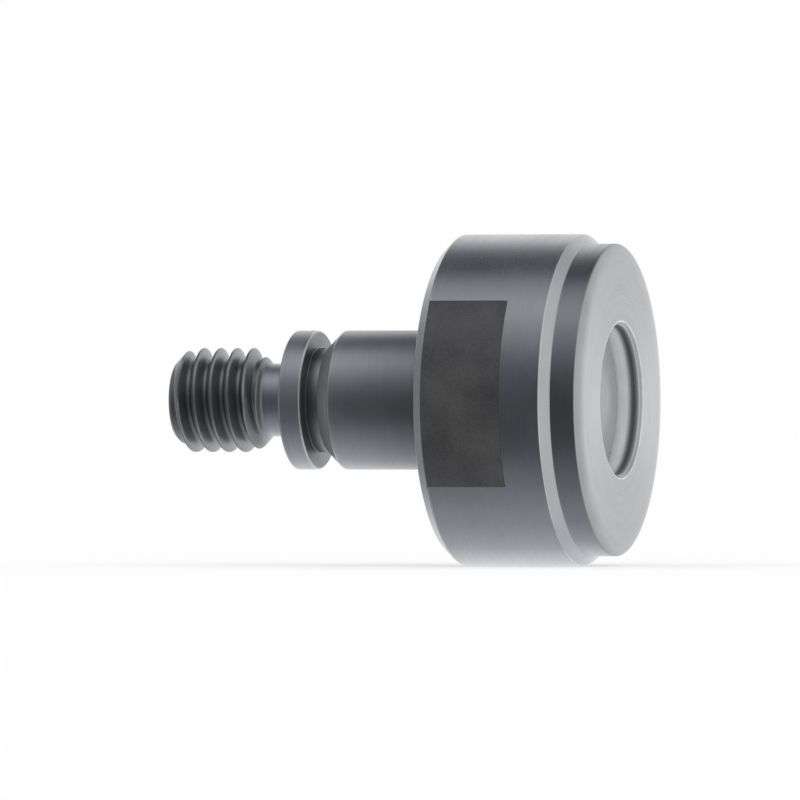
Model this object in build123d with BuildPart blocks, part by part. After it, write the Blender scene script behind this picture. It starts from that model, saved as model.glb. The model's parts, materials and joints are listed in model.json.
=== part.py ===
from build123d import *
from math import cos, radians, sin, tan
import os

# Stud-type cam follower (needle track roller on a threaded pin). Millimetres, +Z up.
# The axis of rotation is the Y axis. The origin is on that axis, in the clamping face: the roller
# unit fills -Y with its front face towards -Y, and the shank, collar and thread run towards +Y.

# --- roller, outside ---
roller_d = 19.0
roller_w = 9.8
front_disc_d = 17.9
front_disc_w = 1.7
front_crown_w = 1.2
front_crown_h = 0.35
rear_edge = 0.6
hole_d = 8.6
hole_edge = 0.2
etch_depth = 0.03
etch_w = 4.65
etch_half_angle = 34.0
etch_tilt = 2.5

# --- stud ---
stud_d = 8.0
end_recess = 1.3
end_edge = 0.25
end_cone_d = 5.0
end_cone_h = 0.45
shank_len = 6.3
shank_edge = 0.9
clip_groove_d = 6.0
clip_groove_w = 0.75
collar_w = 1.35
collar_edge = 0.1
neck_d = 4.2
neck_w = 2.45
thread_d = 6.0
thread_pitch = 1.0
thread_len = 4.65
thread_lead = 1.32
thread_end_d = 4.5

# --- bearing ---
inner_race_d = 9.0
seat_d = 8.5
needle_d = 1.5
needle_len = 3.6
needle_count = 15
needle_edge = 0.15
run_gap = 0.01
side_gap = 0.05
wall = 2.1
washer_w = 0.6
cage_w = 4.6
cage_pocket_w = 3.7
pocket_gap = 0.04

# --- rear closure ---
hub_stand = 0.3
hub_d = 12.4
flange_d = 14.4
flange_w = 0.6
rear_bore_d = 14.6
snap_ring_w = 0.6
snap_groove_d = 15.6
snap_ring_d = 15.56
snap_ring_bore_d = 12.9
snap_ring_gap_angle = 26.0
snap_groove_play = 0.02

# --- worked out ---
roller_r = roller_d / 2
stud_r = stud_d / 2
front_disc_r = front_disc_d / 2
hole_r = hole_d / 2
inner_race_r = inner_race_d / 2
seat_r = seat_d / 2
pitch_r = inner_race_r + run_gap + needle_d / 2
outer_race_r = pitch_r + needle_d / 2 + run_gap
flange_r = flange_d / 2
hub_r = hub_d / 2
rear_bore_r = rear_bore_d / 2
snap_groove_r = snap_groove_d / 2

rear_y = -hub_stand
front_y = rear_y - roller_w
wall_y = front_y + wall
front_washer_y = wall_y + side_gap
cage_y = front_washer_y + washer_w + side_gap
rear_washer_y = cage_y + cage_w + side_gap
flange_y = rear_washer_y + washer_w + side_gap
flange_end_y = flange_y + flange_w
snap_groove_y = flange_end_y + side_gap
snap_ring_y = snap_groove_y + snap_groove_play
snap_groove_end_y = snap_ring_y + snap_ring_w + snap_groove_play
stud_shoulder_y = wall_y + side_gap
end_y = front_y + end_recess
shank_end_y = shank_len + shank_edge
collar_y = shank_end_y + clip_groove_w
neck_y = collar_y + collar_w
thread_y = neck_y + neck_w
tip_y = thread_y + thread_len

os.makedirs("parts", exist_ok=True)


def radial_plane(angle):
    """Half-plane through the Y axis: local x is the radius, local y is the row's +Y."""
    a = radians(angle)
    return Plane(origin=(0, 0, 0), x_dir=(cos(a), 0, sin(a)), z_dir=(-sin(a), 0, cos(a)))


def across(y):
    """Plane square to the Y axis at the height y, facing +Y."""
    return Plane(origin=(0, y, 0), x_dir=(1, 0, 0), z_dir=(0, 1, 0))


def save(builder, name):
    builder.part.label = name
    export_step(builder.part, f"parts/{name}.step")


# --- stud: one turned pin; its M6 thread is a real helix, cut before the tip is chamfered ---
thread_r = thread_d / 2
neck_r = neck_d / 2
thread_depth = 0.6134 * thread_pitch
root_half = thread_pitch / 12
over_crest = 0.1
mouth_half = root_half + (thread_depth + over_crest) * tan(radians(30))
runout = thread_r - neck_r
tip_edge = thread_r - thread_end_d / 2

with BuildPart() as stud:
    with BuildSketch(radial_plane(0)):
        with BuildLine():
            Polyline(
                (0, end_y - end_cone_h),
                (end_cone_d / 2, end_y),
                (stud_r - end_edge, end_y),
                (stud_r, end_y + end_edge),
                (stud_r, stud_shoulder_y),
                (inner_race_r, stud_shoulder_y),
                (inner_race_r, flange_y),
                (seat_r, flange_y),
                (seat_r, 0),
                (stud_r, 0),
                (stud_r, shank_len),
                (stud_r - shank_edge, shank_end_y),
                (clip_groove_d / 2, shank_end_y),
                (clip_groove_d / 2, collar_y),
                (stud_r - collar_edge, collar_y),
                (stud_r, collar_y + collar_edge),
                (stud_r, neck_y - collar_edge),
                (stud_r - collar_edge, neck_y),
                (neck_r, neck_y),
                (neck_r, thread_y - runout),
                (thread_r, thread_y),
                (thread_r, tip_y),
                (0, tip_y),
                close=True,
            )
        make_face()
    revolve(axis=Axis.Y)
    groove_y = thread_y - thread_lead
    groove_len = thread_lead + thread_len + thread_pitch
    with BuildLine():
        helix = Helix(thread_pitch, groove_len, thread_r, center=(0, groove_y, 0), direction=(0, 1, 0))
    start = helix @ 0
    outward = Vector(start.X, 0, start.Z).normalized()
    with BuildSketch(Plane(origin=start, x_dir=outward, z_dir=outward.cross(Vector(0, 1, 0)))):
        with BuildLine():
            Polyline(
                (-thread_depth, -root_half),
                (over_crest, -mouth_half),
                (over_crest, mouth_half),
                (-thread_depth, root_half),
                close=True,
            )
        make_face()
    sweep(path=helix, is_frenet=True, mode=Mode.SUBTRACT)
    with BuildSketch(radial_plane(0)):
        with BuildLine():
            Polyline(
                (thread_end_d / 2, tip_y),
                (thread_r + over_crest, tip_y - tip_edge - over_crest),
                (thread_r + over_crest, tip_y + over_crest),
                (thread_end_d / 2, tip_y + over_crest),
                close=True,
            )
        make_face()
    revolve(axis=Axis.Y, mode=Mode.SUBTRACT)
save(stud, "stud")

# --- outer ring: the roller, with its front disc, rear bore, snap ring groove and etched panel ---
step = roller_r - front_disc_r
crown_r = front_disc_r - front_crown_w
crown_y = front_y + front_crown_h
with BuildPart() as outer_ring:
    with BuildSketch(radial_plane(0)):
        with BuildLine():
            Line((hole_r + hole_edge, front_y), (crown_r, front_y))
            EllipticalCenterArc((crown_r, crown_y), front_crown_w, front_crown_h, 270, arc_size=90)
            Polyline(
                (front_disc_r, crown_y),
                (front_disc_r, front_y + front_disc_w),
                (roller_r, front_y + front_disc_w + step),
                (roller_r, rear_y - rear_edge),
                (roller_r - rear_edge, rear_y),
                (rear_bore_r + hole_edge, rear_y),
                (rear_bore_r, rear_y - hole_edge),
                (rear_bore_r, snap_groove_end_y),
                (snap_groove_r, snap_groove_end_y),
                (snap_groove_r, snap_groove_y),
                (rear_bore_r, snap_groove_y),
                (rear_bore_r, flange_y - side_gap),
                (outer_race_r, flange_y - side_gap),
                (outer_race_r, wall_y),
                (hole_r, wall_y),
                (hole_r, front_y + hole_edge),
                (hole_r + hole_edge, front_y),
            )
        make_face()
    revolve(axis=Axis.Y)
    etch_y = rear_y - rear_edge - etch_w
    with BuildSketch(radial_plane(180 - etch_tilt + etch_half_angle)):
        with Locations((roller_r, etch_y + etch_w / 2)):
            Rectangle(2 * etch_depth, etch_w)
    revolve(axis=Axis.Y, revolution_arc=2 * etch_half_angle, mode=Mode.SUBTRACT)
save(outer_ring, "outer_ring")

# --- side plate: pressed on the stud behind the raceway; its hub is the face that is clamped ---
hub_edge = 0.2
with BuildPart() as side_plate:
    with BuildSketch(radial_plane(0)):
        with BuildLine():
            Polyline(
                (seat_r, flange_y),
                (flange_r, flange_y),
                (flange_r, flange_end_y),
                (hub_r, flange_end_y),
                (hub_r, -hub_edge),
                (hub_r - hub_edge, 0),
                (seat_r, 0),
                close=True,
            )
        make_face()
    revolve(axis=Axis.Y)
save(side_plate, "side_plate")

# --- snap ring: open ring in the roller's groove, behind the side plate's flange ---
snap_band = (snap_ring_d - snap_ring_bore_d) / 2
with BuildPart() as snap_ring:
    with BuildSketch(radial_plane(270 - snap_ring_gap_angle / 2)):
        with Locations(((snap_ring_d - snap_band) / 2, snap_ring_y + snap_ring_w / 2)):
            Rectangle(snap_band, snap_ring_w)
    revolve(axis=Axis.Y, revolution_arc=360 - snap_ring_gap_angle)
save(snap_ring, "snap_ring")


def washer(name, bore_r, rim_r, y):
    with BuildPart() as ring:
        with BuildSketch(across(y)):
            Circle(rim_r)
            Circle(bore_r, mode=Mode.SUBTRACT)
        extrude(amount=washer_w)
    save(ring, name)


# --- plain plastic washers: the front one turns with the roller, the rear one stays on the stud ---
washer_near = 0.04
washer_far = 0.1
washer("front_thrust_washer", inner_race_r + washer_far, outer_race_r - washer_near, front_washer_y)
washer("rear_thrust_washer", inner_race_r + washer_near, outer_race_r - washer_far, rear_washer_y)

# --- needle cage: a ring with one round-backed pocket for each needle ---
cage_clear = 0.12
pocket_y = cage_y + (cage_w - cage_pocket_w) / 2
with BuildPart() as needle_cage:
    with BuildSketch(across(cage_y)):
        Circle(outer_race_r - cage_clear)
        Circle(inner_race_r + cage_clear, mode=Mode.SUBTRACT)
    extrude(amount=cage_w)
    with BuildSketch(across(pocket_y)):
        with PolarLocations(pitch_r, needle_count):
            Circle(needle_d / 2 + pocket_gap)
    extrude(amount=cage_pocket_w, mode=Mode.SUBTRACT)
save(needle_cage, "needle_cage")

# --- needles ---
needle_y = cage_y + (cage_w - needle_len) / 2
for index, place in enumerate(PolarLocations(pitch_r, needle_count)):
    with BuildPart() as needle:
        with BuildSketch(across(needle_y)):
            with Locations(place):
                Circle(needle_d / 2)
        extrude(amount=needle_len)
        fillet(needle.edges().filter_by(GeomType.CIRCLE), needle_edge)
    save(needle, f"needle_{index + 1:02d}")
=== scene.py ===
import json
from math import atan2, ceil, cos, pi, radians, sin, sqrt

import bmesh
import bpy
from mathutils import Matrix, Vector


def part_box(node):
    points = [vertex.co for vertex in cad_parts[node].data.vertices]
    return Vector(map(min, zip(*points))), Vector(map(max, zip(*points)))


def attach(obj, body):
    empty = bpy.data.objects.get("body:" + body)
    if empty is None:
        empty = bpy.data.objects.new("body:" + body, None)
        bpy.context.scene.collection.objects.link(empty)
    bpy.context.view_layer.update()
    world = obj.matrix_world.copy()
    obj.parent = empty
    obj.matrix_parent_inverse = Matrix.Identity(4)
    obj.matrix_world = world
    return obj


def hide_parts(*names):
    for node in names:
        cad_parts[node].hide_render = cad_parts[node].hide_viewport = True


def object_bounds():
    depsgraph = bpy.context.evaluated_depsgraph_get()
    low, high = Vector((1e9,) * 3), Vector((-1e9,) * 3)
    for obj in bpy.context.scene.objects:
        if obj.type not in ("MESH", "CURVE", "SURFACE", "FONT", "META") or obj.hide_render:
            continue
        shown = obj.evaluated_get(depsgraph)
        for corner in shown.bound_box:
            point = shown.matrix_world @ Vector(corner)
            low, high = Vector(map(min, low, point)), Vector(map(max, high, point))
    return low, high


# Looks of a stud-type cam follower. Metres, in the row frame: the axis of rotation is +Y, the front
# face looks towards -Y, the stud's thread points towards +Y, and +Z is up.

MM = 0.001
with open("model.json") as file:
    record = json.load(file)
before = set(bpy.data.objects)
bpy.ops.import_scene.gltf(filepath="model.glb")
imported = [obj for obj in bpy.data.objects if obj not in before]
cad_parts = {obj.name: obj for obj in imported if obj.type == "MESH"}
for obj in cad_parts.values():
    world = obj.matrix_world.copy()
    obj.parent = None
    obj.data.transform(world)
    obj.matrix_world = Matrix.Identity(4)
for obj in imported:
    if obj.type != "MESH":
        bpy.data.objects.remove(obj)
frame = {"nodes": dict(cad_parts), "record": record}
CAD_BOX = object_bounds()
MOUNTS = {m["name"]: m for m in frame["record"]["mounts"]}

# --- sizes that the frame gives ---
ring_lo, ring_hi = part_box("outer_ring")
stud_lo, stud_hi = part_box("stud")
plate_lo, plate_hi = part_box("side_plate")
snap_lo, snap_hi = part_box("snap_ring")

ROLLER_R = ring_hi.x
FRONT_Y = ring_lo.y
REAR_Y = ring_hi.y
RACE_R = stud_hi.x
APEX_Y = stud_lo.y
TIP_Y = stud_hi.y
FLANGE_R = plate_hi.x
FLANGE_Y = plate_lo.y
SNAP_R = snap_hi.x
SNAP_FRONT_Y = snap_lo.y
SNAP_REAR_Y = snap_hi.y
SHANK_R = MOUNTS["shank"]["dims"]["r_mm"] * MM
SHANK_END_Y = MOUNTS["shank"]["dims"]["length_mm"] * MM
GROOVE_R = MOUNTS["clip_groove"]["dims"]["r_mm"] * MM
GROOVE_W = MOUNTS["clip_groove"]["dims"]["length_mm"] * MM
GROOVE_Y = MOUNTS["clip_groove"]["pos_m"][1] - GROOVE_W / 2
THREAD_R = MOUNTS["thread"]["dims"]["r_mm"] * MM
THREAD_Y = TIP_Y - MOUNTS["thread"]["dims"]["length_mm"] * MM

# --- sizes of the detail that the frame's boxes don't give ---
DISC_R = 8.95 * MM
DISC_W = 1.7 * MM
CROWN_W = 1.2 * MM
CROWN_H = 0.35 * MM
HOLE_R = 4.3 * MM
HOLE_EDGE = 0.2 * MM
WALL = 2.1 * MM
REAR_EDGE = 0.6 * MM
REAR_BORE_R = 7.3 * MM
GROOVE_FLOOR_R = 7.8 * MM
OUTER_RACE_R = 6.02 * MM
PANEL_DEPTH = 0.03 * MM
PANEL_LEN = 4.65 * MM
PANEL_HALF = radians(34.0)
PANEL_MID = radians(272.5)
END_RECESS = 1.3 * MM
END_EDGE = 0.25 * MM
CONE_R = 2.5 * MM
SEAT_R = 4.25 * MM
SHANK_EDGE = 0.9 * MM
COLLAR_W = 1.35 * MM
COLLAR_EDGE = 0.1 * MM
NECK_R = 2.1 * MM
NECK_SOFT = 0.15 * MM
PITCH = 1.0 * MM
THREAD_LEAD = 1.32 * MM
TIP_R = 2.25 * MM
HUB_R = 6.2 * MM
HUB_EDGE = 0.2 * MM
FLANGE_W = 0.6 * MM
SNAP_BORE_R = 6.45 * MM
SNAP_GAP = radians(26)
FINE = 0.03 * MM
SOFT = 0.06 * MM
SHARP_ANGLE = radians(32)

# --- camera: the photograph's angle on its side view ---
VIEW_AZIMUTH = 286.8
VIEW_ELEVATION = 0.0
VIEW_DISTANCE = 0.8
FRAME_WIDTH = 0.046

# --- light tent: levels by angle up from the camera's side, about the object's axis ---
TENT_R = 0.6
TENT_PEAK = 1.3
TENT_BLUE = 0.12
TENT_ABOUT = [
    (-180, 1.20),
    (-145, 1.00),
    (-120, 0.62),
    (-90, 0.42),
    (-60, 0.26),
    (-30, 0.10),
    (0, 0.08),
    (25, 0.16),
    (45, 0.36),
    (65, 0.60),
    (85, 0.42),
    (103, 0.07),
    (120, 0.15),
    (150, 1.0),
    (180, 1.20),
]

# --- light tent: its two ends, as (y where the end starts, y where it is full, level); y is in radii ---
TENT_ENDS = [(-0.30, -0.75, 0.92), (0.55, 0.92, 0.32)]

# --- plain light from all sides, for everything but reflections ---
WORLD_LEVEL = 1.18


# ---------------------------------------------------------------- mesh helpers
def around(radius, y, turn):
    """Point at a radius and a height y, turned about +Y from +Z towards +X."""
    return Vector((radius * sin(turn), y, radius * cos(turn)))


def rounded(outline, closed):
    """Outline of (radius, y, edge) as points (radius, y, wear), with each corner's edge rounded.

    A rounded corner is painted bright, partly as rubbed steel and partly as a painted highlight, except
    where its edge is negative: that is an inside corner.
    A support point on each side keeps the flat parts flat.
    """
    steps, support = 4, 0.04 * MM
    points = []
    count = len(outline)
    for i, (r, y, edge) in enumerate(outline):
        corner = Vector((r, y, 0))
        if edge == 0 or (not closed and i in (0, count - 1)):
            points.append(corner)
            continue
        to_last = Vector((*outline[i - 1][:2], 0)) - corner
        to_next = Vector((*outline[(i + 1) % count][:2], 0)) - corner
        cut = min(abs(edge), 0.4 * to_last.length, 0.4 * to_next.length)
        start = corner + to_last.normalized() * cut
        end = corner + to_next.normalized() * cut
        if to_last.length > 3 * (cut + support):
            points.append(corner + to_last.normalized() * (cut + support))
        for k in range(steps + 1):
            s = k / steps
            point = (1 - s) ** 2 * start + 2 * s * (1 - s) * corner + s * s * end
            point.z = 1.0 if edge > 0 else 0.0
            points.append(point)
        if to_next.length > 3 * (cut + support):
            points.append(corner + to_next.normalized() * (cut + support))
    return points


def lathe(mesh, outline, turns, closed, shape=None, full=True):
    """Turn an outline about the Y axis into mesh. shape(radius, y, turn) may change a point's radius."""
    rub_and_glint = mesh.verts.layers.float.get("rub_and_glint") or mesh.verts.layers.float.new("rub_and_glint")
    rings = []
    for p in outline:
        ring = []
        for t in turns:
            r = shape(p.x, p.y, t) if shape else p.x
            vert = mesh.verts.new(around(r, p.y, t))
            vert[rub_and_glint] = p.z
            ring.append(vert)
        rings.append(ring)
    last = len(rings) if closed else len(rings) - 1
    for i in range(last):
        low, high = rings[i], rings[(i + 1) % len(rings)]
        for j in range(len(turns) if full else len(turns) - 1):
            k = (j + 1) % len(turns)
            mesh.faces.new((low[j], low[k], high[k], high[j]))
    return rings


def even(count):
    return [2 * pi * j / count for j in range(count)]


def finish_mesh(mesh, name, body, node, materials):
    """Weld, turn the faces outward, and put the piece on its body in place of its CAD node."""
    weld = 0.0002 * MM
    bmesh.ops.remove_doubles(mesh, verts=mesh.verts, dist=weld)
    bmesh.ops.recalc_face_normals(mesh, faces=mesh.faces)
    data = bpy.data.meshes.new(name)
    mesh.to_mesh(data)
    mesh.free()
    data.shade_smooth()
    data.set_sharp_from_angle(angle=SHARP_ANGLE)
    for material in materials:
        data.materials.append(material)
    piece = bpy.data.objects.new(name, data)
    bpy.context.scene.collection.objects.link(piece)
    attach(piece, body)
    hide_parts(node)
    return piece


# ---------------------------------------------------------------- materials
class Graph:
    """A material's node tree, with short calls for the nodes that several materials share."""

    def __init__(self, name, shader="ShaderNodeBsdfPrincipled"):
        self.material = bpy.data.materials.new(name)
        self.material.use_nodes = True
        self.tree = self.material.node_tree
        self.tree.nodes.clear()
        self.shader = self.add(shader)
        out = self.add("ShaderNodeOutputMaterial")
        self.link(self.shader.outputs[0], out.inputs["Surface"])
        self.coords = self.add("ShaderNodeTexCoord").outputs["Object"]

    def add(self, kind, **settings):
        node = self.tree.nodes.new(kind)
        for key, value in settings.items():
            setattr(node, key, value)
        return node

    def link(self, source, target):
        self.tree.links.new(source, target)

    def plug(self, node, values):
        for key, value in values.items():
            if isinstance(value, bpy.types.NodeSocket):
                self.link(value, node.inputs[key])
            else:
                node.inputs[key].default_value = value

    def math(self, operation, a, b=0.0):
        node = self.add("ShaderNodeMath", operation=operation)
        self.plug(node, {0: a, 1: b})
        return node.outputs[0]

    def noise(self, vector, scale, detail=2.0, roughness=0.5):
        node = self.add("ShaderNodeTexNoise")
        self.plug(node, {"Vector": vector, "Scale": scale, "Detail": detail, "Roughness": roughness})
        return node.outputs["Fac"]

    def remap(self, value, low, high, to_low, to_high):
        node = self.add("ShaderNodeMapRange", clamp=True)
        self.plug(
            node,
            {"Value": value, "From Min": low, "From Max": high, "To Min": to_low, "To Max": to_high},
        )
        return node.outputs[0]

    def mix(self, factor, first, second):
        node = self.add("ShaderNodeMix", data_type="RGBA")
        self.plug(node, {0: factor, 6: first, 7: second})
        return node.outputs[2]

    def ramp(self, value, stops, easing="LINEAR"):
        """Colour by value, from (position 0 to 1, colour) stops."""
        node = self.add("ShaderNodeValToRGB")
        node.color_ramp.interpolation = easing
        elements = node.color_ramp.elements
        while len(elements) < len(stops):
            elements.new(1.0)
        for element, (at, colour) in zip(elements, stops):
            element.position = at
            element.color = colour
        self.link(value, node.inputs[0])
        return node.outputs[0]

    def split(self, vector):
        node = self.add("ShaderNodeSeparateXYZ")
        self.link(vector, node.inputs[0])
        return node.outputs

    def clouded(self, tone, dark, light):
        """Dark to light by a noise's tone, over the middle of its range."""
        return self.mix(self.remap(tone, 0.35, 0.65, 0.0, 1.0), dark, light)

    def shaded_along_axis(self, colour, shade_zones):
        """Painted shade: colour darkened along the object's axis by a table of (start y, end y, stops),
        or left as it is for None.
        """
        if not shade_zones:
            return colour
        start, end, stops = shade_zones
        place = self.remap(self.split(self.coords)[1], start, end, 0.0, 1.0)
        node = self.add("ShaderNodeMix", data_type="RGBA", blend_type="MULTIPLY")
        self.plug(node, {0: 1.0, 6: colour, 7: self.ramp(place, stops)})
        return node.outputs[2]

    def bump(self, height, strength, distance, normal=None):
        node = self.add("ShaderNodeBump")
        values = {"Height": height, "Strength": strength, "Distance": distance}
        if normal:
            values["Normal"] = normal
        self.plug(node, values)
        return node.outputs[0]


def grey(level, tint=1.0):
    return (level * (2 - tint), level, level * tint, 1.0)


def turned_vector(g, across):
    """Coordinates that make noise into lathe lines: fine along the axis or the radius, long around."""
    x, y, z = g.split(g.coords)
    radius = g.math("SQRT", g.math("ADD", g.math("MULTIPLY", x, x), g.math("MULTIPLY", z, z)))
    fine = g.math("ADD", g.math("MULTIPLY", y, across), g.math("MULTIPLY", radius, across))
    long_scale = 260.0
    join = g.add("ShaderNodeCombineXYZ")
    g.link(g.math("MULTIPLY", x, long_scale), join.inputs[0])
    g.link(fine, join.inputs[1])
    g.link(g.math("MULTIPLY", z, long_scale), join.inputs[2])
    return join.outputs[0]


def steel(name, base, edge_rub_and_glint, tint, rough, line_bump, blotch, aniso, lines=26000.0, shade_zones=None):
    """Machined steel: fine lathe or grinding lines, a few deeper lines, cloudy tone, bright edges that
    are partly rubbed steel and partly a painted highlight, and painted shade along the axis where the
    shade table has it.
    """
    g = Graph(name)
    fine = g.noise(turned_vector(g, lines), 1.0, detail=3.0, roughness=0.6)
    coarse = g.noise(turned_vector(g, 0.2 * lines), 1.0, detail=2.0, roughness=0.55)
    cloud = g.noise(g.coords, 420.0, detail=4.0, roughness=0.6)
    speck = g.noise(g.coords, 5200.0, detail=2.0, roughness=0.6)
    # Rounded edges get a lighter colour: partly rubbed steel, partly a painted highlight.
    rub_and_glint_mask = g.add("ShaderNodeAttribute", attribute_name="rub_and_glint").outputs["Fac"]
    edge = g.math("MULTIPLY", rub_and_glint_mask, g.remap(cloud, 0.35, 0.65, 0.25, 0.8))
    tone = g.math("ADD", g.math("MULTIPLY", coarse, 0.35), g.math("MULTIPLY", cloud, 0.65))
    dark = grey(base * (1 - blotch), tint)
    light = grey(base * (1 + blotch), tint)
    # Painted shade along the axis, where the piece's shade table has it.
    colour = g.shaded_along_axis(g.mix(edge, g.clouded(tone, dark, light), grey(edge_rub_and_glint)), shade_zones)
    finish = g.math("ADD", g.math("MULTIPLY", fine, 0.45), g.math("MULTIPLY", cloud, 0.55))
    roughness = g.remap(finish, 0.3, 0.7, rough * 0.82, rough * 1.2)
    roughness = g.math("SUBTRACT", roughness, g.math("MULTIPLY", edge, 0.05))
    height = g.math("ADD", fine, g.math("MULTIPLY", coarse, 0.8))
    normal = g.bump(height, line_bump, 0.0015 * MM)
    normal = g.bump(speck, 0.08, 0.002 * MM, normal)
    g.plug(
        g.shader,
        {
            "Base Color": colour,
            "Metallic": 1.0,
            "Roughness": roughness,
            "Normal": normal,
            "Anisotropic": aniso,
            "Tangent": g.add("ShaderNodeTangent", direction_type="RADIAL", axis="Y").outputs[0],
        },
    )
    return g.material


def etched(name):
    """Matte dark laser-etched steel with a fine grain."""
    g = Graph(name)
    grain = g.noise(g.coords, 9000.0, detail=3.0, roughness=0.65)
    hatch = g.noise(turned_vector(g, 14000.0), 1.0, detail=1.0)
    cloud = g.noise(g.coords, 500.0, detail=3.0)
    tone = g.math("ADD", g.math("MULTIPLY", grain, 0.5), g.math("MULTIPLY", cloud, 0.5))
    colour = g.clouded(tone, grey(0.095, 1.02), grey(0.160, 1.0))
    normal = g.bump(g.math("ADD", grain, hatch), 0.5, 0.006 * MM)
    g.plug(
        g.shader,
        {
            "Base Color": colour,
            "Metallic": 0.8,
            "Roughness": g.remap(cloud, 0.3, 0.7, 0.50, 0.62),
            "Normal": normal,
        },
    )
    return g.material


def satin(name, base, rough, tint=1.01, shade_zones=None):
    """Satin steel of turned, unground faces: finely grained, with painted shade in rings along the axis
    where the shade table has them.
    """
    g = Graph(name)
    grain = g.noise(g.coords, 8000.0, detail=3.0, roughness=0.6)
    cloud = g.noise(g.coords, 500.0, detail=3.0)
    rings = g.noise(turned_vector(g, 9000.0), 1.0, detail=2.0)
    tone = g.math("ADD", g.math("MULTIPLY", rings, 0.4), g.math("MULTIPLY", cloud, 0.6))
    colour = g.shaded_along_axis(g.clouded(tone, grey(base * 0.95, tint), grey(base * 1.05, tint)), shade_zones)
    g.plug(
        g.shader,
        {
            "Base Color": colour,
            "Metallic": 0.35,
            "Roughness": g.remap(cloud, 0.3, 0.7, rough * 0.9, rough * 1.1),
            "Normal": g.bump(g.math("ADD", grain, rings), 0.35, 0.002 * MM),
        },
    )
    return g.material


def plastic(name, dark, light):
    """Moulded polyamide with a faint spark-eroded grain."""
    g = Graph(name)
    grain = g.noise(g.coords, 7000.0, detail=2.0)
    cloud = g.noise(g.coords, 600.0, detail=3.0)
    g.plug(
        g.shader,
        {
            "Base Color": g.clouded(cloud, grey(dark), grey(light)),
            "Roughness": g.remap(cloud, 0.3, 0.7, 0.42, 0.58),
            "Normal": g.bump(grain, 0.4, 0.004 * MM),
        },
    )
    return g.material


# Painted shade along a piece's axis, as (millimetres from the start of the stretch, level): a level
# under 1 darkens the colour there.
# Stud: painted shade on the shank towards the roller, in the clip groove, at the neck and over the
# thread.
STUD_PAINTED_SHADE = [
    (0.0, 0.52),
    (1.5, 0.68),
    (4.5, 0.88),
    (6.35, 1.00),
    (7.25, 0.80),
    (7.6, 0.41),
    (7.95, 0.31),
    (8.0, 1.00),
    (10.65, 1.00),
    (11.0, 0.66),
    (11.3, 0.40),
    (11.9, 0.57),
    (16.4, 0.57),
]
# Roller: painted shade over the front disc and its step.
ROLLER_PAINTED_SHADE = [
    (0.0, 0.78),
    (1.6, 0.78),
    (1.8, 0.92),
    (2.2, 0.92),
    (2.4, 1.00),
    (9.8, 1.00),
]
# Bore: a band of painted shade inside the hole, darkest about half a millimetre in from the mouth.
BORE_PAINTED_SHADE = [
    (0.2, 0.45),
    (0.32, 0.22),
    (0.46, 0.08),
    (0.60, 0.14),
    (0.72, 0.42),
    (0.86, 0.90),
    (1.0, 1.00),
]


def spread(stops, length):
    """Stops of (millimetres, level) as a ramp's stops over a length."""
    return [(at * MM / length, grey(level)) for at, level in stops]


ROLLER_STEEL = steel(
    "roller_steel",
    base=0.50,
    edge_rub_and_glint=0.72,
    tint=1.03,
    rough=0.27,
    line_bump=0.35,
    blotch=0.05,
    aniso=0.35,
    shade_zones=(FRONT_Y, REAR_Y, spread(ROLLER_PAINTED_SHADE, REAR_Y - FRONT_Y)),
)
FACE_STEEL = steel(
    "face_steel",
    base=0.38,
    edge_rub_and_glint=0.92,
    tint=1.01,
    rough=0.30,
    line_bump=0.9,
    blotch=0.09,
    aniso=0.6,
    lines=12000.0,
)
STUD_STEEL = steel(
    "stud_steel",
    base=0.57,
    edge_rub_and_glint=0.68,
    tint=1.03,
    rough=0.36,
    line_bump=0.35,
    blotch=0.07,
    aniso=0.3,
    shade_zones=(0.0, TIP_Y, spread(STUD_PAINTED_SHADE, TIP_Y)),
)
PLATE_STEEL = steel(
    "plate_steel", base=0.42, edge_rub_and_glint=0.62, tint=1.02, rough=0.33, line_bump=0.5, blotch=0.06, aniso=0.3
)
SPRING_STEEL = steel(
    "spring_steel", base=0.11, edge_rub_and_glint=0.34, tint=1.0, rough=0.42, line_bump=0.2, blotch=0.12, aniso=0.0
)
NEEDLE_STEEL = steel(
    "needle_steel", base=0.66, edge_rub_and_glint=0.80, tint=1.01, rough=0.12, line_bump=0.1, blotch=0.03, aniso=0.0
)
END_STEEL = satin("end_steel", base=0.34, rough=0.5)
CHAMFER_STEEL = satin("chamfer_steel", base=0.18, rough=0.5, tint=1.05)
BORE_STEEL = satin(
    "bore_steel", base=0.95, rough=0.4, shade_zones=(FRONT_Y, FRONT_Y + WALL, spread(BORE_PAINTED_SHADE, WALL))
)
ETCHED_STEEL = etched("etched_steel")
CAGE_PLASTIC = plastic("cage_plastic", 0.030, 0.048)
WASHER_PLASTIC = plastic("washer_plastic", 0.11, 0.15)


# ---------------------------------------------------------------- pieces
def panel_turns():
    """Column angles of the roller, with a pair of close columns at each side edge of the panel."""
    inside, outside = 96, 300
    wall = PANEL_DEPTH / ROLLER_R
    start, end = PANEL_MID - PANEL_HALF, PANEL_MID + PANEL_HALF
    rest = 2 * pi - 2 * PANEL_HALF
    turns = [start + 2 * PANEL_HALF * j / inside for j in range(inside + 1)]
    turns[1:1] = [start + wall]
    turns[-1:-1] = [end - wall]
    turns += [end + rest * j / outside for j in range(1, outside)]
    return turns


def in_panel(turn, y):
    """Whether a point at this turn and y lies on the etched panel's sunk floor."""
    away = abs((turn - PANEL_MID + pi) % (2 * pi) - pi)
    slack = 0.5 * PANEL_DEPTH
    start = REAR_Y - REAR_EDGE - PANEL_LEN
    return away < PANEL_HALF - slack / ROLLER_R and y > start + slack


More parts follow.
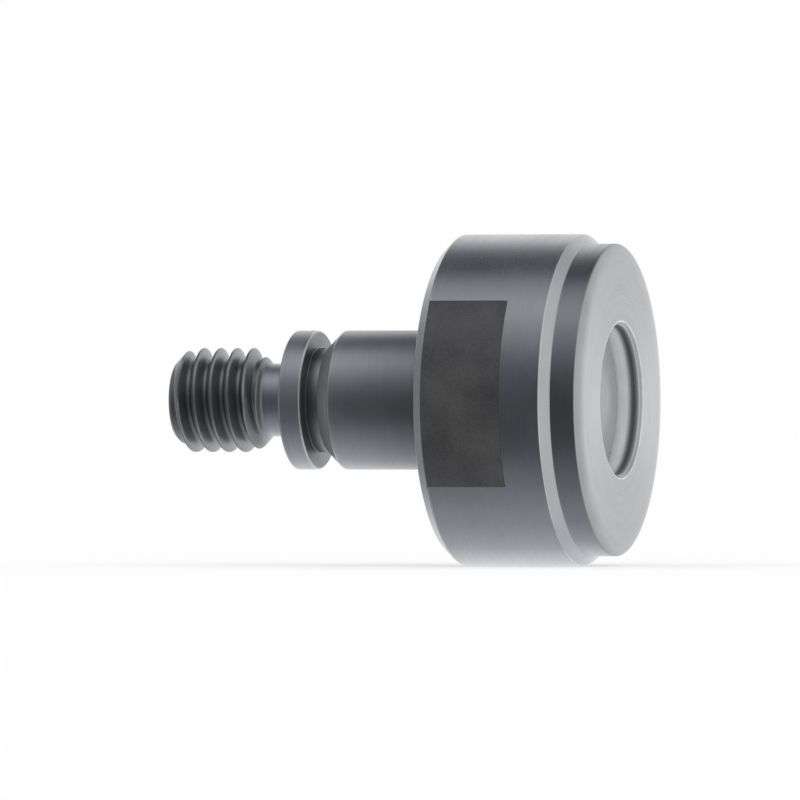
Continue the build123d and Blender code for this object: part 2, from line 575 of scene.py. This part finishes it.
def make_roller():
    """The outer ring, turned from one outline, with the panel sunk into its rolling surface."""
    od_front = FRONT_Y + DISC_W + ROLLER_R - DISC_R
    od_rear = REAR_Y - REAR_EDGE
    panel_y = od_rear - PANEL_LEN
    front = rounded(
        [
            (HOLE_R, FRONT_Y + WALL, 0),
            (HOLE_R, FRONT_Y + HOLE_EDGE, FINE),
            (HOLE_R + HOLE_EDGE, FRONT_Y, FINE),
            (DISC_R - CROWN_W, FRONT_Y, 0),
        ],
        False,
    )
    crown_steps = 12
    for k in range(1, crown_steps):
        a = pi / 2 * k / crown_steps
        front.append(Vector((DISC_R - CROWN_W * (1 - sin(a)), FRONT_Y + CROWN_H * (1 - cos(a)), 0)))
    front += rounded(
        [
            (DISC_R, FRONT_Y + CROWN_H, 0),
            (DISC_R, FRONT_Y + DISC_W, -FINE),
            (ROLLER_R, od_front, FINE),
            (ROLLER_R, panel_y - SOFT, 0),
        ],
        False,
    )
    panel_rows = [panel_y, panel_y + PANEL_DEPTH] + [panel_y + PANEL_LEN * k / 12 for k in range(1, 12)]
    middle = [Vector((ROLLER_R, y, 0)) for y in panel_rows]
    back = rounded(
        [
            (ROLLER_R, od_rear - SOFT - SOFT, 0),
            (ROLLER_R, od_rear, SOFT),
            (ROLLER_R - REAR_EDGE, REAR_Y, SOFT),
            (REAR_BORE_R + HOLE_EDGE, REAR_Y, FINE),
            (REAR_BORE_R, REAR_Y - HOLE_EDGE, FINE),
            (REAR_BORE_R, SNAP_REAR_Y + FINE, 0),
            (GROOVE_FLOOR_R, SNAP_REAR_Y + FINE, 0),
            (GROOVE_FLOOR_R, SNAP_FRONT_Y - FINE, 0),
            (REAR_BORE_R, SNAP_FRONT_Y - FINE, 0),
            (REAR_BORE_R, FLANGE_Y - FINE, 0),
            (OUTER_RACE_R, FLANGE_Y - FINE, 0),
            (OUTER_RACE_R, FRONT_Y + WALL, 0),
        ],
        False,
    )

    def sink(radius, y, turn):
        floor = ROLLER_R - PANEL_DEPTH
        return floor if radius > floor and in_panel(turn, y) else radius

    mesh = bmesh.new()
    lathe(mesh, front + middle + back, panel_turns(), True, sink)
    for face in mesh.faces:
        c = face.calc_center_median()
        radius = sqrt(c.x**2 + c.z**2)
        on_floor = radius < ROLLER_R - 0.8 * PANEL_DEPTH and radius > ROLLER_R - 1.5 * PANEL_DEPTH
        if on_floor and c.y < od_rear and in_panel(atan2(c.x, c.z), c.y):
            face.material_index = 1
        elif radius < HOLE_R + 0.3 * HOLE_EDGE:
            face.material_index = 3
        elif c.y < FRONT_Y + CROWN_H:
            face.material_index = 2
    steels = [ROLLER_STEEL, ETCHED_STEEL, FACE_STEEL, BORE_STEEL]
    return finish_mesh(mesh, "roller_ring", "roller", "outer_ring", steels)


def thread_radius(phase):
    """Radius of the M6 thread at a phase of its pitch: 0 is the middle of the root, 0.5 the crest."""
    depth, root_half, crest_half = 0.6134 * PITCH, 1 / 12, 1 / 16
    away = abs((phase + 0.5) % 1.0 - 0.5)
    rise = (away - root_half) / (0.5 - crest_half - root_half)
    rise = min(max(rise, 0.0), 1.0)
    soft = 0.08
    rise = rise**2 / (4 * soft) if rise < 2 * soft else rise - soft
    return THREAD_R - depth * (1 - rise / (1 - soft))


def soft_min(a, b):
    """The smaller of two radii, with the corner where they cross rounded off."""
    reach = 0.1 * MM
    near = max(reach - abs(a - b), 0.0) / reach
    return min(a, b) - near**2 * reach / 4


def make_stud():
    """The pin: turned outline in front of and behind the thread, and the thread's helical grid."""
    columns = 240
    neck_end = THREAD_Y - (THREAD_R - NECK_R)
    collar_y = GROOVE_Y + GROOVE_W
    neck_y = collar_y + COLLAR_W
    end_y = FRONT_Y + END_RECESS
    body = rounded(
        [
            (0, APEX_Y, 0),
            (CONE_R, end_y, FINE),
            (SHANK_R - END_EDGE, end_y, FINE),
            (SHANK_R, end_y + END_EDGE, FINE),
            (SHANK_R, FRONT_Y + WALL + SOFT, 0),
            (RACE_R, FRONT_Y + WALL + SOFT, 0),
            (RACE_R, FLANGE_Y, 0),
            (SEAT_R, FLANGE_Y, 0),
            (SEAT_R, plate_hi.y, 0),
            (SHANK_R, plate_hi.y, 0),
            (SHANK_R, SHANK_END_Y, SOFT),
            (SHANK_R - SHANK_EDGE, GROOVE_Y, FINE),
            (GROOVE_R, GROOVE_Y, -SOFT),
            (GROOVE_R, collar_y, -SOFT),
            (SHANK_R - COLLAR_EDGE, collar_y, FINE),
            (SHANK_R, collar_y + COLLAR_EDGE, FINE),
            (SHANK_R, neck_y - COLLAR_EDGE, FINE),
            (SHANK_R - COLLAR_EDGE, neck_y, FINE),
            (NECK_R, neck_y, -3 * SOFT),
            (NECK_R, neck_end - NECK_SOFT, 0),
        ],
        False,
    )
    mesh = bmesh.new()
    turns = even(columns)
    lathe(mesh, body, turns, False)

    low, high = neck_end - NECK_SOFT, TIP_Y
    rows_per_pitch = 24
    first = THREAD_Y - THREAD_LEAD - PITCH
    rows = rows_per_pitch * ceil((high - first) / PITCH + 1)

    def outline_radius(y):
        past = y - neck_end
        rise = past if past > NECK_SOFT else (past + NECK_SOFT) ** 2 / (4 * NECK_SOFT)
        tip = TIP_R + (TIP_Y - y)
        return soft_min(NECK_R + rise, tip)

    grid = []
    for i in range(rows + 1):
        ring = []
        for t in turns:
            phase = i / rows_per_pitch
            y = min(max(first + PITCH * (phase + t / (2 * pi)), low), high)
            at = (y - first) / PITCH - t / (2 * pi)
            radius = soft_min(outline_radius(y), thread_radius(at))
            ring.append(mesh.verts.new(around(radius, y, t)))
        grid.append(ring)
    for i in range(rows):
        for j in range(columns):
            k = (j + 1) % columns
            up = rows_per_pitch if k == 0 else 0
            if i + 1 + up > rows:
                continue
            quad = (grid[i][j], grid[i + up][k], grid[i + 1 + up][k], grid[i + 1][j])
            mesh.faces.new(quad)
    face = rounded([(TIP_R, TIP_Y, 0), (0, TIP_Y, 0)], False)
    lathe(mesh, face, turns, False)
    for item in mesh.faces:
        y = item.calc_center_median().y
        if y < end_y + END_EDGE:
            item.material_index = 1
        elif SHANK_END_Y + SOFT < y < GROOVE_Y:
            item.material_index = 2
    steels = [STUD_STEEL, END_STEEL, CHAMFER_STEEL]
    return finish_mesh(mesh, "stud_pin", "stud", "stud", steels)


def make_side_plate():
    outline = rounded(
        [
            (SEAT_R, FLANGE_Y, 0),
            (FLANGE_R, FLANGE_Y, FINE),
            (FLANGE_R, FLANGE_Y + FLANGE_W, FINE),
            (HUB_R, FLANGE_Y + FLANGE_W, -SOFT),
            (HUB_R, plate_hi.y - HUB_EDGE, FINE),
            (HUB_R - HUB_EDGE, plate_hi.y, FINE),
            (SEAT_R, plate_hi.y, 0),
        ],
        True,
    )
    mesh = bmesh.new()
    lathe(mesh, outline, even(240), True)
    return finish_mesh(mesh, "side_plate_turned", "stud", "side_plate", [PLATE_STEEL])


def make_snap_ring():
    """Open ring of flat section, with its gap at the bottom and its ends closed."""
    outline = rounded(
        [
            (SNAP_BORE_R, SNAP_FRONT_Y, SOFT),
            (SNAP_R, SNAP_FRONT_Y, SOFT),
            (SNAP_R, SNAP_REAR_Y, SOFT),
            (SNAP_BORE_R, SNAP_REAR_Y, SOFT),
        ],
        True,
    )
    columns = 220
    sweep = 2 * pi - SNAP_GAP
    start = pi + SNAP_GAP / 2
    turns = [start + sweep * j / columns for j in range(columns + 1)]
    mesh = bmesh.new()
    rings = lathe(mesh, outline, turns, True, full=False)
    mesh.faces.new([ring[0] for ring in rings])
    mesh.faces.new([ring[-1] for ring in rings])
    return finish_mesh(mesh, "snap_ring_flat", "roller", "snap_ring", [SPRING_STEEL])


def paint_inner_nodes():
    """The hidden pieces keep their CAD shapes and get their own materials."""
    finishes = {
        "needle_cage": CAGE_PLASTIC,
        "front_thrust_washer": WASHER_PLASTIC,
        "rear_thrust_washer": WASHER_PLASTIC,
    }
    for name, node in frame["nodes"].items():
        is_needle = name.startswith("needle_") and name != "needle_cage"
        finish = NEEDLE_STEEL if is_needle else finishes.get(name)
        if finish:
            for slot in node.material_slots:
                slot.material = finish


# ---------------------------------------------------------------- studio
def put_on_stage(mesh, name, material):
    bmesh.ops.remove_doubles(mesh, verts=mesh.verts, dist=0.01 * MM)
    data = bpy.data.meshes.new(name)
    mesh.to_mesh(data)
    mesh.free()
    data.shade_smooth()
    data.materials.append(material)
    item = bpy.data.objects.new(name, data)
    bpy.context.scene.collection.objects.link(item)
    return item


def tent_colour(level):
    share = level / TENT_PEAK
    return (share, share, min(1.0, share * (1 + TENT_BLUE * (1 - share))), 1.0)


def tent_light():
    """Emission by direction: a smooth run of soft panels about the object's axis, and two soft ends."""
    g = Graph("tent_light", "ShaderNodeEmission")
    x, y, z = g.split(g.coords)
    angle = g.math("ARCTAN2", z, g.math("MULTIPLY", x, -1.0))
    turn = g.math("ADD", g.math("DIVIDE", angle, 2 * pi), 0.5)
    light = g.ramp(turn, [((a + 180) / 360, tent_colour(level)) for a, level in TENT_ABOUT], "EASE")
    along = g.math("DIVIDE", y, TENT_R)
    for start, full, level in TENT_ENDS:
        share = g.add("ShaderNodeMapRange", interpolation_type="SMOOTHSTEP")
        g.plug(share, {"Value": along, "From Min": start, "From Max": full})
        light = g.mix(share.outputs[0], light, grey(level / TENT_PEAK))
    g.plug(g.shader, {"Color": light, "Strength": TENT_PEAK})
    return g.material


def make_tent():
    """A big soft light tent that only reflections see."""
    steps = 48
    outline = []
    for k in range(steps + 1):
        a = pi * k / steps
        outline.append(Vector((TENT_R * sin(a), -TENT_R * cos(a), 0)))
    mesh = bmesh.new()
    lathe(mesh, outline, even(96), False)
    tent = put_on_stage(mesh, "light_tent", tent_light())
    tent.visible_camera = False
    tent.visible_diffuse = False
    tent.visible_shadow = False


def make_floor():
    """Pale, faintly backlit seamless floor: flat under the object and the camera, then curved up."""
    flat, rim, height, steps = 0.82, 1.0, 0.9, 16
    paper_level, glow_level, glow_share = 0.84, 0.99, 0.6
    floor_z = CAD_BOX[0].z
    bend = rim - flat
    outline = [Vector((0, floor_z, 0)), Vector((flat, floor_z, 0))]
    for k in range(1, steps + 1):
        a = pi / 2 * k / steps
        outline.append(Vector((flat + bend * sin(a), floor_z + bend * (1 - cos(a)), 0)))
    outline.append(Vector((rim, floor_z + height, 0)))
    mesh = bmesh.new()
    lathe(mesh, outline, even(96), False)
    for vert in mesh.verts:
        vert.co = (vert.co.x, vert.co.z, vert.co.y)
    paper = bpy.data.materials.new("floor_paper")
    paper.use_nodes = True
    tree = paper.node_tree
    tree.nodes.clear()
    matte = tree.nodes.new("ShaderNodeBsdfDiffuse")
    matte.inputs["Color"].default_value = grey(paper_level)
    glow = tree.nodes.new("ShaderNodeEmission")
    glow.inputs["Strength"].default_value = glow_level
    both = tree.nodes.new("ShaderNodeMixShader")
    both.inputs[0].default_value = glow_share
    tree.links.new(matte.outputs[0], both.inputs[1])
    tree.links.new(glow.outputs[0], both.inputs[2])
    out = tree.nodes.new("ShaderNodeOutputMaterial")
    tree.links.new(both.outputs[0], out.inputs["Surface"])
    floor = put_on_stage(mesh, "floor", paper)
    floor.visible_glossy = False
    floor.visible_diffuse = False
    floor.visible_shadow = False


def make_world():
    world = bpy.data.worlds.new("studio")
    bpy.context.scene.world = world
    world.use_nodes = True
    soft = world.node_tree.nodes["Background"]
    soft.inputs["Color"].default_value = grey(1.0)
    soft.inputs["Strength"].default_value = WORLD_LEVEL
    bpy.context.scene.view_settings.view_transform = "Standard"


def make_camera():
    a, e = radians(VIEW_AZIMUTH), radians(VIEW_ELEVATION)
    back = Vector((sin(a) * cos(e), -cos(a) * cos(e), sin(e)))
    data = bpy.data.cameras.new("camera")
    data.sensor_width = 36.0
    data.lens = data.sensor_width * VIEW_DISTANCE / FRAME_WIDTH
    data.clip_start = 0.01
    data.clip_end = 10.0
    camera = bpy.data.objects.new("camera", data)
    bpy.context.scene.collection.objects.link(camera)
    target = (CAD_BOX[0] + CAD_BOX[1]) / 2
    camera.location = target + back * VIEW_DISTANCE
    camera.rotation_mode = "QUATERNION"
    camera.rotation_quaternion = (-back).to_track_quat("-Z", "Y")
    bpy.context.scene.camera = camera


make_roller()
make_stud()
make_side_plate()
make_snap_ring()
paint_inner_nodes()
make_tent()
make_floor()
make_world()
make_camera()
